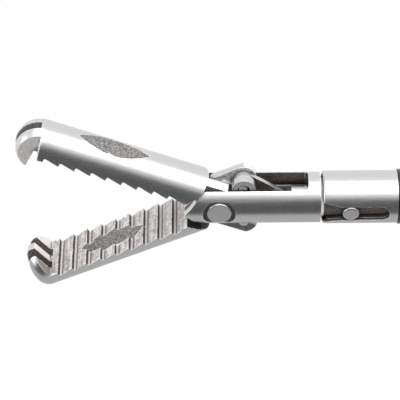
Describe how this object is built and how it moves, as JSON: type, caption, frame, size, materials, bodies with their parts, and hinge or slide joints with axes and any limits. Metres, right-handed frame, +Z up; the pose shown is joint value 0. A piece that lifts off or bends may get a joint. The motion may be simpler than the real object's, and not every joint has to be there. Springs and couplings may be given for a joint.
{
  "type": "laparoscopic grasper",
  "caption": "Ring-handled laparoscopic claw grasper with double-action serrated jaws, insulated shaft, rotation knob and electrode post.",
  "frame": {"origin": "on the shaft axis at the front face of the rotation knob", "axes": "+X along the shaft towards the handle, jaws towards -X, +Z up, jaws open in the XZ plane"},
  "size_m": [0.4284, 0.0246, 0.113],
  "materials": {
    "steel": "satin stainless steel, milled faces duller",
    "insulation": "smooth black insulation",
    "handle_plastic": "fine-grained black moulding",
    "bush_plastic": "machined engineering plastic",
    "seal": "silicone rubber"
  },
  "bodies": {
    "handle": {"handle_shell_left": "handle_plastic", "handle_shell_right": "handle_plastic", "front_bush": "bush_plastic", "lever_pivot_screw": "steel", "shell_screws": "steel", "electrode_post": "steel", "post_collar": "bush_plastic"},
    "thumb_lever": {"lever_core": "steel", "thumb_lever": "handle_plastic"},
    "shaft": {"jaw_yoke": "steel", "jaw_pivot_pin": "steel", "ferrule": "steel", "key_pin": "steel", "inner_tube": "steel", "insulation_sheath": "insulation", "rod_guides": "bush_plastic", "rod_seal": "seal", "rotation_knob": "handle_plastic", "shaft_collar": "steel"},
    "rod": {"rod_head": "steel", "rod_pin": "steel", "drive_rod": "steel", "rod_ball": "steel"},
    "upper_jaw": {"upper_jaw": "steel", "upper_knee_pin": "steel"},
    "lower_jaw": {"lower_jaw": "steel", "lower_knee_pin": "steel"},
    "upper_link": {"upper_link": "steel"},
    "lower_link": {"lower_link": "steel"}
  },
  "joints": [
    {"name": "lever_squeeze", "type": "hinge", "parent": "handle", "child": "thumb_lever", "pos_m": [0.046, 0, -0.0076], "axis": [0, 1, 0], "range_deg": [0, 16.93]},
    {"name": "shaft_turn", "type": "hinge", "parent": "handle", "child": "shaft", "pos_m": [0, 0, 0], "axis": [1, 0, 0], "continuous": true},
    {"name": "rod_slide", "type": "slide", "parent": "shaft", "child": "rod", "axis": [1, 0, 0], "range_m": [0, 0.00226]},
    {"name": "upper_jaw_hinge", "type": "hinge", "parent": "shaft", "child": "upper_jaw", "pos_m": [-0.2912, 0, 0], "axis": [0, -1, 0], "range_deg": [0, 23.01]},
    {"name": "lower_jaw_hinge", "type": "hinge", "parent": "shaft", "child": "lower_jaw", "pos_m": [-0.2912, 0, 0], "axis": [0, 1, 0], "range_deg": [0, 25.86]},
    {"name": "upper_link_hinge", "type": "hinge", "parent": "rod", "child": "upper_link", "pos_m": [-0.28051, 0, 0], "axis": [0, 1, 0], "range_deg": [0, 18.36]},
    {"name": "lower_link_hinge", "type": "hinge", "parent": "rod", "child": "lower_link", "pos_m": [-0.28051, 0, 0], "axis": [0, -1, 0], "range_deg": [0, 18.36]}
  ],
  "couplings": [
    {"joint": "rod_slide", "follows": "lever_squeeze", "m_per_rad": 0.0076558},
    {"joint": "upper_jaw_hinge", "follows": "lever_squeeze", "ratio": 1.3583},
    {"joint": "lower_jaw_hinge", "follows": "lever_squeeze", "ratio": 1.5267},
    {"joint": "upper_link_hinge", "follows": "lever_squeeze", "ratio": 1.0834},
    {"joint": "lower_link_hinge", "follows": "lever_squeeze", "ratio": 1.0834}
  ]
}
